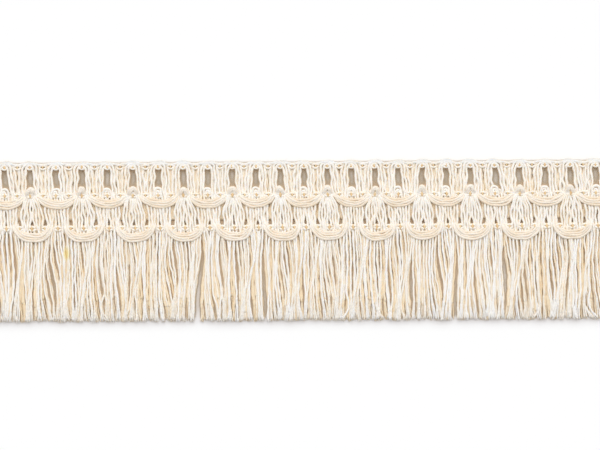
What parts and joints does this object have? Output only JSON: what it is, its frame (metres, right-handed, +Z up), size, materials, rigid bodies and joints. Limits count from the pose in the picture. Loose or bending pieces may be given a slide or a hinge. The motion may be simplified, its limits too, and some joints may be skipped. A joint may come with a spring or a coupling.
{
  "type": "chainette fringe trim",
  "caption": "Straight cut length of cotton fringe trim with a slotted crocheted heading, two scalloped cords and a cut fringe, to sew along an edge.",
  "frame": {"origin": "centre of the trim's box, on the surface that it lies on", "axes": "+X along the trim, +Y towards the heading's top edge, +Z up out of its face"},
  "size_m": [0.1996, 0.05, 0.0025],
  "materials": {
    "heading_yarn": "undyed cream cotton yarn, soft and matt, crocheted",
    "cord_yarn": "undyed cream cotton yarn, soft and matt, four ends laid side by side",
    "fringe_yarn": "undyed cream cotton yarn, loosely twisted, cut and brushed out at its ends"
  },
  "bodies": {
    "root": {"heading": "heading_yarn", "upper_scallop_cord": "cord_yarn", "lower_scallop_cord": "cord_yarn", "fringe": "fringe_yarn"}
  },
  "joints": []
}
